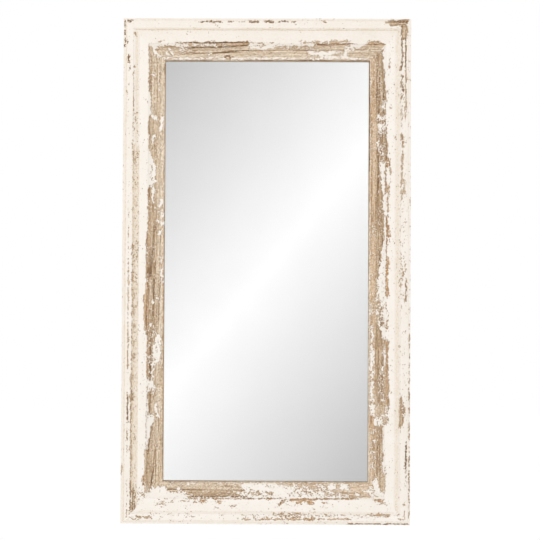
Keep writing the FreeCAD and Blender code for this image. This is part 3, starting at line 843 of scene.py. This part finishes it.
# Crumbs of paint left in the wood, fewer where it is most worn.
crumbs = noise(tree, board, (0.27, 0.38, 0.38), Detail=2, Roughness=0.6)
crumb_share = ranged(tree, crumbs, 0.59, 0.63, 0, 0.9)
crumbs_left = ranged(tree, worn, 1.1, 1.5, 1, 0.2)
crumb_share = calculate(tree, "MULTIPLY", crumb_share, crumbs_left)
wood = lay(tree, wood, "#F2EADF", crumb_share)

# The back of the wood was neither stained nor painted: it is pale planed pine.
raw_pine = ramp(tree, streaks, (0.3, "#C4A276"), (0.5, "#DBBE93"), (0.68, "#E8D3B0"))
ring_tint = calculate(tree, "MULTIPLY", ring_line, 0.7)
raw_pine = lay(tree, raw_pine, "#B98A58", ring_tint)
raw_share = ranged(tree, worn, 1.9, 2.3)
wood = lay(tree, wood, raw_pine, raw_share)

# The paint: faint clouds, brown stain with painted shade in it, a thin yellowed edge beside
# each chip, and specks.
clouds = noise(tree, board, 0.02, Detail=4, Roughness=0.6)
paint = ramp(tree, clouds, (0.3, "#EDE6DC"), (0.7, "#F1EBE4"))
# stain and painted shade in the paint, broken into blotches, where the strokes above lay it
stain_and_shade_noise = noise(tree, board, (0.16, 0.4, 0.4), Detail=4, Roughness=0.75)
stain_and_shade_share = ranged(tree, stain_and_shade_noise, 0.42, 0.66, 0.25, 1.3)
stain_and_shade_share = calculate(tree, "MULTIPLY", stain_and_shade_share, stain_and_shade, use_clamp=True)
paint = lay(tree, paint, "#D0B791", stain_and_shade_share)
thin_edge = ranged(tree, ragged, -0.3, 0, 0, 0.45)
paint = lay(tree, paint, "#DCC7A8", thin_edge)
specks = add(tree, "TexVoronoi", {"Vector": board, "Scale": 0.1})
speck_size = add(tree, "SeparateColor", {"Color": specks.outputs["Color"]})
speck_size = ranged(tree, speck_size.outputs["Red"], 0.5, 1, 0, 0.17)
speck_share = calculate(tree, "SUBTRACT", speck_size, specks.outputs["Distance"])
speck_share = ranged(tree, speck_share, 0, 0.04, 0, 0.85)
paint = lay(tree, paint, "#836A4E", speck_share)

colour = lay(tree, paint, wood, bare)
roughness = ranged(tree, bare, 0, 1, 0.66, 0.82)
bristles = noise(tree, board, (0.02, 1.1, 1.1), Detail=3)
paint_height = calculate(tree, "MULTIPLY_ADD", bristles, 0.12, 0.9)
wood_height = calculate(tree, "MULTIPLY", pores, 0.5)
surface_height = add(tree, "Mix", {"Factor": bare, "A": paint_height, "B": wood_height}, data_type="FLOAT")
relief = add(tree, "Bump", {"Height": surface_height, "Strength": 0.7, "Distance": 0.5 * MM})
plug(tree, surface, {
    "Base Color": colour, "Roughness": roughness, "Normal": relief, "Specular IOR Level": 0.35})


# Each place turns how far along a length, how far in and how high a point is into where it
# is on the mirror.
def place_left(along, across, height):
    return (-FRAME_WIDTH / 2 + across, BACK_FACE - height, along)


def place_right(along, across, height):
    return (FRAME_WIDTH / 2 - across, BACK_FACE - height, along)


def place_bottom(along, across, height):
    return (-FRAME_WIDTH / 2 + along, BACK_FACE - height, across)


def place_top(along, across, height):
    return (-FRAME_WIDTH / 2 + along, BACK_FACE - height, FRAME_HEIGHT - across)


def stand_in(node, mesh):
    """Put a mesh in the place of a CAD node, as a piece with the mesh's own name."""
    piece = bpy.data.objects.new(mesh.name, mesh)
    bpy.context.scene.collection.objects.link(piece)
    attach(piece, "frame")
    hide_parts(node)


# Each length with its measure, its place, whether that place turns the section over, its
# lean, how worn it is where no stroke is laid, and the seed of its noise. The lean is how
# much further in a point seems to be, seen from in front, for each mm below the rim.
LENGTHS = {
    "left_stile": (FRAME_HEIGHT, place_left, True, 0.105, -0.95, 11),
    "right_stile": (FRAME_HEIGHT, place_right, False, 0.07, -0.85, 37),
    "bottom_rail": (FRAME_WIDTH, place_bottom, False, 0.12, -0.85, 53),
    "top_rail": (FRAME_WIDTH, place_top, True, 0.157, -1.05, 79),
}
# A point below BACK_REACH is on the back or in the rebate, unless it is on the outer side,
# which is within SIDE_REACH of the edge. RAW_WOOD is the wear that stands for the unpainted
# back, and SIDE_SPARED is how much less worn the outer side is than the front.
BACK_REACH = 10.5
SIDE_REACH = 0.1
RAW_WOOD = 3
SIDE_SPARED = 0.3
# The edges of the wear wander by ALONG_WANDER and ACROSS_WANDER. On an arris they keep to
# HELD_SHARE of the second, and from ARRIS_REACH away they are free.
ALONG_WANDER = 5
ACROSS_WANDER = 3.2
ARRIS_REACH = 10
HELD_SHARE = 0.15
# The paint starts to go at a wear of PAINT_BREAKS and has gone at PAINT_GONE. Dents come
# where their noise is over DENTS_FROM.
PAINT_BREAKS = -0.05
PAINT_GONE = 0.2
DENTS_FROM = 0.72
# How deep the waves from planing, the paint, the raised grain, the dents and the dip at a
# mitre are, within what distance of a mitre the relief fades, and how wide the dip is.
WAVE_DEPTH = 0.25
PAINT_THICKNESS = 0.4
GRAIN_DEPTH = 0.5
DENT_DEPTH = 0.9
MITRE_DEPTH = 0.25
MITRE_FADE = 6
MITRE_REACH = 1.5
# The boards lie this far apart in the pattern of the grain, times their seeds.
BOARD_STEP = 1500

for name, (length, place, turned_over, lean, usual_wear, seed) in LENGTHS.items():
    stations = np.linspace(0, 1, round(length / STATION_SPACING) + 1)[:, None]
    across, height = (np.broadcast_to(side, (len(stations), len(section))) for side in section.T)
    along = across + stations * (length - 2 * across)
    on_back = (height < BACK_REACH) & (across > SIDE_REACH)

    # the pattern of wear, with ragged edges that wander less beside an arris, and with
    # blotches of two sizes
    seen_across = across + lean * (RIM_HEIGHT - height)
    to_arris = np.abs(across[..., None] - ARRISES).min(axis=-1)
    freedom = np.clip(to_arris / ARRIS_REACH, HELD_SHARE, 1)
    shifted_along = along + ALONG_WANDER * rough_noise(along, across, 22, 8, seed)
    shifted_across = seen_across + ACROSS_WANDER * freedom * rough_noise(along, across, 15, 8, seed + 5)
    wear = brushed(EVERYWHERE_WORN + WORN[name], shifted_along, shifted_across, usual_wear, 6)
    wear += 0.25 * rough_noise(along, across, 18, 7, seed + 10)
    wear += 0.45 * rough_noise(along, across, 7, 4, seed + 40)
    wear = np.where(on_back, RAW_WOOD, np.where(across > SIDE_REACH, wear, wear - SIDE_SPARED))

    # shade, which along the sight edge is painted shadow and highlight, warmth, and stain with
    # painted shade in it, whose edges wander by about 1 mm
    wander = 0.6 * rough_noise(along, across, 25, 8, seed + 15)
    shade = np.where(on_back, 0, brushed(SHADED[name], along, seen_across + wander, 0, 2))
    wander = 0.8 * rough_noise(along, across, 25, 8, seed + 17)
    warmth = brushed(WARMED[name], along, seen_across + wander, 0, 4)
    wander = 0.5 * rough_noise(along, across, 40, 9, seed + 15)
    stain_and_shade_amount = brushed(STAIN_AND_SHADE[name], along, seen_across + wander, 0, 3)

    # the relief, which fades out at the mitres, where both lengths sink into the joint
    paint_gone = np.clip((wear - PAINT_BREAKS) / (PAINT_GONE - PAINT_BREAKS), 0, 1)
    grain = np.abs(soft_noise(along, across, 110, 2.6, seed + 20))
    dents = soft_noise(along, across, 8, 5, seed + 25)
    dents = np.clip((dents - DENTS_FROM) / (1 - DENTS_FROM), 0, 1)
    relief = WAVE_DEPTH * soft_noise(along, across, 150, 45, seed + 30)
    relief -= paint_gone * (PAINT_THICKNESS + GRAIN_DEPTH * grain)
    relief -= paint_gone * DENT_DEPTH * dents
    to_mitre = np.minimum(along - across, length - across - along)
    relief *= np.clip(to_mitre / MITRE_FADE, 0, 1)
    relief -= MITRE_DEPTH * np.clip(1 - to_mitre / MITRE_REACH, 0, 1)
    relief = np.where(on_back, 0, relief)
    worn_across = across + relief * section_normal[:, 0]
    worn_height = height + relief * section_normal[:, 1]
    worn_along = worn_across + stations * (length - 2 * worn_across)

    # the mesh: a ring of faces from each station to the next, and a cap on each mitre
    points = np.stack(np.broadcast_arrays(*place(worn_along, worn_across, worn_height)), axis=-1) * MM
    numbers = np.arange(points.shape[0] * points.shape[1]).reshape(points.shape[:2])
    after = np.roll(numbers, -1, axis=1)
    faces = np.stack([numbers[:-1], after[:-1], after[1:], numbers[1:]], axis=-1).reshape(-1, 4).tolist()
    faces += [numbers[0, ::-1].tolist(), numbers[-1].tolist()]
    if turned_over:
        faces = [face[::-1] for face in faces]
    mesh = bpy.data.meshes.new(f"painted_{name}")
    mesh.from_pydata(points.reshape(-1, 3).tolist(), [], faces)
    for attribute, values in (("worn", wear), ("shaded", shade), ("warmed", warmth), ("stain_and_shade", stain_and_shade_amount)):
        mesh.attributes.new(attribute, "FLOAT", "POINT").data.foreach_set("value", values.ravel())
    board_place = np.stack([along + BOARD_STEP * seed, across, height], axis=-1)
    mesh.attributes.new("board", "FLOAT_VECTOR", "POINT").data.foreach_set("vector", board_place.ravel())
    mesh.shade_smooth()
    mesh.set_sharp_from_angle(angle=math.radians(38))
    mesh.materials.append(painted_pine)
    stand_in(name, mesh)

# Mirror glass
# One pane of clear float glass, 4 mm thick, cut square with its edges rubbed down. Its
# silvering is a film of bright metal on the back.
clear_glass, tree, surface = new_finish("clear_float_glass")
place_in_pane = add(tree, "TexCoord").outputs["Object"]
haze = noise(tree, place_in_pane, 2.5, Detail=2)
haze = ranged(tree, haze, 0, 1, 0, 0.004)
plug(tree, surface, {"Base Color": "#FEFEFE", "Roughness": haze, "IOR": 1.52, "Transmission Weight": 1})
PANE_HALF_WIDTH = 298
PANE_HALF_HEIGHT = 603
PANE_FRONT = 6.3
PANE_BACK = 10.28
PANE_ARRIS = 0.8
pane_rings = [
    (PANE_FRONT, PANE_ARRIS), (PANE_FRONT + PANE_ARRIS, 0),
    (PANE_BACK - PANE_ARRIS, 0), (PANE_BACK, PANE_ARRIS),
]
pane_corners = [(-1, -1), (1, -1), (1, 1), (-1, 1)]
pane_points = [
    (side * (PANE_HALF_WIDTH - inset) * MM, depth * MM,
     (FRAME_HEIGHT / 2 + end * (PANE_HALF_HEIGHT - inset)) * MM)
    for depth, inset in pane_rings for side, end in pane_corners
]
pane_faces = [(0, 1, 2, 3), (15, 14, 13, 12)]
for ring in range(len(pane_rings) - 1):
    for corner in range(4):
        low = 4 * ring + corner
        high = 4 * ring + (corner + 1) % 4
        pane_faces.append((high, low, low + 4, high + 4))
mesh = bpy.data.meshes.new("glass_pane")
mesh.from_pydata(pane_points, [], pane_faces)
mesh.materials.append(clear_glass)
stand_in("mirror_glass", mesh)


def dress(finish, *names):
    """Give CAD nodes a finish."""
    for name in names:
        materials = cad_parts[name].data.materials
        materials.clear()
        materials.append(finish)


silvering, tree, surface = new_finish("silver_mirror_film")
place_in_film = add(tree, "TexCoord").outputs["Object"]
tarnish = noise(tree, place_in_film, 6, Detail=3)
tarnish = ramp(tree, tarnish, (0.3, "#F7F8F7"), (0.7, "#FAFAFA"))
plug(tree, surface, {"Base Color": tarnish, "Metallic": 1, "Roughness": 0.01})
dress(silvering, "silver_coating")

# Backing board
# A sheet of medium-density fibreboard pressed from fine wood fibres, sanded smooth and
# held in the rebate by the clips.
fibreboard, tree, surface = new_finish("sanded_fibreboard")
place_in_board = add(tree, "TexCoord").outputs["Object"]
fibres = noise(tree, place_in_board, 900, Detail=4, Roughness=0.75)
blotches = noise(tree, place_in_board, 9, Detail=4)
fibre_mix = calculate(tree, "MULTIPLY_ADD", blotches, 0.2, fibres)
fibre_colour = ramp(tree, fibre_mix, (0.45, "#8F7050"), (0.66, "#A88761"), (0.9, "#B7976F"))
fibre_relief = add(tree, "Bump", {"Height": fibres, "Strength": 0.35, "Distance": 0.2 * MM})
plug(tree, surface, {"Base Color": fibre_colour, "Roughness": 0.78, "Normal": fibre_relief})

SHARP_ANGLE = math.radians(50)


def ease_edges(node, finish, width):
    """Put a copy of a CAD node in its place, with its sharp edges broken to this width in mm."""
    shape = bmesh.new()
    shape.from_mesh(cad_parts[node].data)
    bmesh.ops.remove_doubles(shape, verts=shape.verts, dist=0.001 * MM)
    bmesh.ops.dissolve_limit(shape, angle_limit=math.radians(1), verts=shape.verts, edges=shape.edges)
    sharp = [edge for edge in shape.edges if edge.is_manifold and edge.calc_face_angle() > SHARP_ANGLE]
    bmesh.ops.bevel(
        shape, geom=sharp, offset=width * MM, segments=2, profile=0.5, affect="EDGES", clamp_overlap=True)
    mesh = bpy.data.meshes.new(f"eased_{node}")
    shape.to_mesh(mesh)
    shape.free()
    mesh.shade_smooth()
    mesh.set_sharp_from_angle(angle=math.radians(28))
    mesh.materials.append(finish)
    stand_in(node, mesh)


ease_edges("backing_board", fibreboard, 0.6)

# Glass packers
# Short strips of black rubber that keep the glass off the wood and centre it. Rubber gets
# a faint grey bloom as it ages.
rubber, tree, surface = new_finish("black_rubber")
place_in_strip = add(tree, "TexCoord").outputs["Object"]
bloom = noise(tree, place_in_strip, 300, Detail=3)
bloom = ramp(tree, bloom, (0.3, "#1D1C1B"), (0.7, "#34322F"))
plug(tree, surface, {"Base Color": bloom, "Roughness": 0.7})
dress(rubber, "glass_packers")

# V-nails
# Hardened steel strip bent to a V and driven across each mitre from the back, two to a
# corner.
nail_steel, tree, surface = new_finish("hardened_strip_steel")
place_on_nail = add(tree, "TexCoord").outputs["Object"]
scale_marks = noise(tree, place_on_nail, 700, Detail=3)
steel_colour = ramp(tree, scale_marks, (0.3, "#5B5E62"), (0.7, "#8A8D91"))
steel_gloss = ranged(tree, scale_marks, 0, 1, 0.3, 0.55)
plug(tree, surface, {"Base Color": steel_colour, "Metallic": 1, "Roughness": steel_gloss})
dress(nail_steel, "corner_v_nails")

# Clips, corner plates and hanger straps
# Stamped from bright zinc-plated steel sheet and screwed to the back: ten flat clips for
# the board, a plate across each corner, and two straps that hold the hanger rings.
zinc_plate, tree, surface = new_finish("zinc_plated_sheet_steel")
place_on_plate = add(tree, "TexCoord").outputs["Object"]
rolling = noise(tree, place_on_plate, (60, 60, 900), Detail=3)
dulling = noise(tree, place_on_plate, 90, Detail=4, Roughness=0.65)
zinc_colour = ramp(tree, dulling, (0.32, "#8F969C"), (0.5, "#B6BBBF"), (0.68, "#D2D5D7"))
zinc_gloss = ranged(tree, dulling, 0.3, 0.7, 0.24, 0.48)
zinc_relief = add(tree, "Bump", {"Height": rolling, "Strength": 0.5, "Distance": 0.1 * MM})
plug(tree, surface, {
    "Base Color": zinc_colour, "Metallic": 1, "Roughness": zinc_gloss, "Normal": zinc_relief})
for name in ("backing_clips", "left_hanger_strap", "right_hanger_strap", "corner_plate_top_left",
             "corner_plate_top_right", "corner_plate_bottom_left", "corner_plate_bottom_right"):
    ease_edges(name, zinc_plate, 0.3)

# Hanger rings
# Each is one piece of nickel-plated steel wire bent to a D and closed in the barrel of its
# strap, where it swings.
nickel_wire, tree, surface = new_finish("nickel_plated_wire")
place_on_wire = add(tree, "TexCoord").outputs["Object"]
drawing = noise(tree, place_on_wire, 400, Detail=3)
wire_colour = ramp(tree, drawing, (0.35, "#948E84"), (0.65, "#CFCAC1"))
wire_gloss = ranged(tree, drawing, 0, 1, 0.16, 0.34)
plug(tree, surface, {"Base Color": wire_colour, "Metallic": 1, "Roughness": wire_gloss})
dress(nickel_wire, "left_hanger_ring", "right_hanger_ring")

# Wood screws
# Round-headed steel screws with a cross recess, plated in yellow zinc, which tints them
# gold with traces of green and rose.
yellow_zinc, tree, surface = new_finish("yellow_zinc_plated_steel")
place_on_screw = add(tree, "TexCoord").outputs["Object"]
tints = noise(tree, place_on_screw, 260, Detail=3)
tint_colour = ramp(tree, tints, (0.3, "#ABA775"), (0.5, "#C6AD70"), (0.7, "#CCA985"))
tint_gloss = ranged(tree, tints, 0, 1, 0.2, 0.4)
plug(tree, surface, {"Base Color": tint_colour, "Metallic": 1, "Roughness": tint_gloss})
dress(yellow_zinc, "clip_screws", "corner_plate_screws", "hanger_screws")

# Wall bumpers
# Round pads of pressed grey felt, glued on at the corners to stand the frame off the wall.
# The felt is matt, with a soft sheen from its hairs.
felt, tree, surface = new_finish("pressed_grey_felt")
place_in_felt = add(tree, "TexCoord").outputs["Object"]
hairs = noise(tree, place_in_felt, 1100, Detail=5, Roughness=0.8, Distortion=1)
hair_colour = ramp(tree, hairs, (0.3, "#4E4A47"), (0.5, "#6C6763"), (0.7, "#8C8781"))
hair_relief = add(tree, "Bump", {"Height": hairs, "Strength": 0.8, "Distance": 0.4 * MM})
plug(tree, surface, {
    "Base Color": hair_colour, "Roughness": 0.95, "Normal": hair_relief, "Sheen Weight": 0.4})
for name in ("top_left", "top_right", "bottom_left", "bottom_right"):
    dress(felt, f"wall_bumper_{name}")

# Studio
# A white floor and a white room, a wide soft light up to the left of the camera, and a tall
# glowing card behind the camera, which is what the glass reflects. The card is no lamp: its
# glow is graded, white along a slanting band and grey at its upper left and lower right, so
# that it lays that band and the grey corners on the glass as its reflection.
scene = bpy.context.scene
scene.view_settings.view_transform = "Standard"
scene.world = bpy.data.worlds.new("white_room")
scene.world.use_nodes = True
room = scene.world.node_tree.nodes["Background"]
room.inputs["Color"].default_value = (1, 1, 1, 1)
room.inputs["Strength"].default_value = 1.0


def glowing(name):
    """A material that only gives off light, with nothing linked to its colour yet."""
    material = bpy.data.materials.new(name)
    material.use_nodes = True
    tree = material.node_tree
    tree.nodes.clear()
    glow = add(tree, "Emission")
    add(tree, "OutputMaterial", {"Surface": glow})
    return material, tree, glow


def panel(name, finish, corners):
    """One flat face of the studio, which is no part of the mirror."""
    mesh = bpy.data.meshes.new(name)
    mesh.from_pydata(corners, [], [(0, 1, 2, 3)])
    mesh.materials.append(finish)
    board = bpy.data.objects.new(name, mesh)
    scene.collection.objects.link(board)
    return board


white_floor, tree, glow = glowing("white_studio_floor")
floor_noise = add(tree, "TexNoise", {"Scale": 3}).outputs["Fac"]
floor_colour = ramp(tree, floor_noise, (0.3, "#FDFDFD"), (0.7, "#FFFFFF"))
plug(tree, glow, {"Color": floor_colour, "Strength": 1.02})
panel("floor", white_floor, [(-3, -0.5, 0), (3, -0.5, 0), (3, 3.2, 0), (-3, 3.2, 0)])

CARD_X = -0.055
CARD_Y = -4.5
CARD_Z = 0.79
CARD_HALF_WIDTH = 0.85
CARD_HALF_HEIGHT = 1.75
ACROSS_WEIGHT = 0.374
graded_card, tree, glow = glowing("graded_reflector_card")
on_card = add(tree, "TexCoord").outputs["Generated"]
on_card = add(tree, "SeparateXYZ", {"Vector": on_card})
down_share = calculate(tree, "SUBTRACT", 1, on_card.outputs["Z"])
diagonal = calculate(tree, "MULTIPLY", on_card.outputs["X"], ACROSS_WEIGHT)
diagonal = calculate(tree, "MULTIPLY_ADD", down_share, 1 - ACROSS_WEIGHT, diagonal)
card_colour = ramp(tree, diagonal, (0.115, "#C4C4C4"), (0.5, "#FEFEFE"), (0.885, "#C0C0C0"))
plug(tree, glow, {"Color": card_colour, "Strength": 1.1})
card = panel("reflector_card", graded_card, [
    (CARD_X + side * CARD_HALF_WIDTH, CARD_Y, CARD_Z + end * CARD_HALF_HEIGHT)
    for side, end in pane_corners])
card.visible_camera = False

KEY_PLACE = Vector((-0.9, -3.2, 1.5))
KEY_AIM = Vector((0, 0, 0.75))
key = bpy.data.lights.new("soft_key", "AREA")
key.shape = "RECTANGLE"
key.size = 2.4
key.size_y = 1.4
key.energy = 17
soft_key = bpy.data.objects.new("soft_key", key)
soft_key.location = KEY_PLACE
soft_key.rotation_mode = "QUATERNION"
soft_key.rotation_quaternion = (KEY_AIM - KEY_PLACE).to_track_quat("-Z", "Y")
soft_key.visible_glossy = False
soft_key.visible_transmission = False
scene.collection.objects.link(soft_key)

# The camera stands 3.5 m in front, half way up, and its turn was fitted to the corners.
CAMERA_DISTANCE = 3.5
AIM = Vector((0.0106, 0, 0.7119))
YAW = math.radians(0.53)
PITCH = math.radians(-1.01)
ROLL = math.radians(0.274)
backward = Vector((math.sin(YAW) * math.cos(PITCH), -math.cos(YAW) * math.cos(PITCH), math.sin(PITCH)))
level = (-backward).cross(Vector((0, 0, 1))).normalized()
upright = level.cross(-backward)
camera_right = level * math.cos(ROLL) + upright * math.sin(ROLL)
camera_up = upright * math.cos(ROLL) - level * math.sin(ROLL)
camera = bpy.data.objects.new("camera", bpy.data.cameras.new("camera"))
camera.data.lens = 82.69
camera.data.sensor_width = 36
camera.matrix_world = Matrix.Translation(AIM + backward * CAMERA_DISTANCE) @ Matrix(
    (camera_right, camera_up, backward)).transposed().to_4x4()
scene.collection.objects.link(camera)
scene.camera = camera
